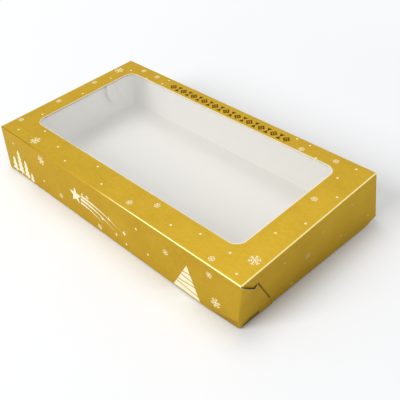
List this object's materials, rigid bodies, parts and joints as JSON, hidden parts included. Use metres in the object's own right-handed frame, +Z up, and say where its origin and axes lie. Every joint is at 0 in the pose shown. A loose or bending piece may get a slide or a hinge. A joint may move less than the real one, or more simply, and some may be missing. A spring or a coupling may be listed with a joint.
{
  "type": "windowed cake box",
  "caption": "Shallow rectangular carton with a hinged lid over a tray, slit-and-tab locked corners and a large rounded window with clear film.",
  "frame": {"origin": "middle of the box's outline, on the surface that the box stands on", "axes": "+X along the box to the right end, +Y to the back, +Z up through the lid"},
  "size_m": [0.36, 0.19, 0.055],
  "materials": {
    "gold_board": "satin metallic gold print outside, white inside",
    "white_board": "matt white inside, gold print outside",
    "window_film": "clear gloss film"
  },
  "bodies": {
    "tray": {"tray_floor": "white_board", "tray_front_wall": "white_board", "tray_back_wall": "white_board", "tray_left_end_wall": "white_board", "tray_right_end_wall": "white_board", "tray_front_left_tab": "white_board", "tray_front_right_tab": "white_board", "tray_back_left_tab": "white_board", "tray_back_right_tab": "white_board"},
    "lid": {"lid_top_panel": "gold_board", "lid_front_wall": "gold_board", "lid_left_end_wall": "gold_board", "lid_right_end_wall": "gold_board", "lid_front_left_tab": "gold_board", "lid_front_right_tab": "gold_board", "lid_window_film": "window_film"}
  },
  "joints": [
    {"name": "lid_hinge", "type": "hinge", "parent": "tray", "child": "lid", "pos_m": [0, 0.09515, 0.05365], "axis": [-1, 0, 0], "range_deg": [0, 180]}
  ]
}
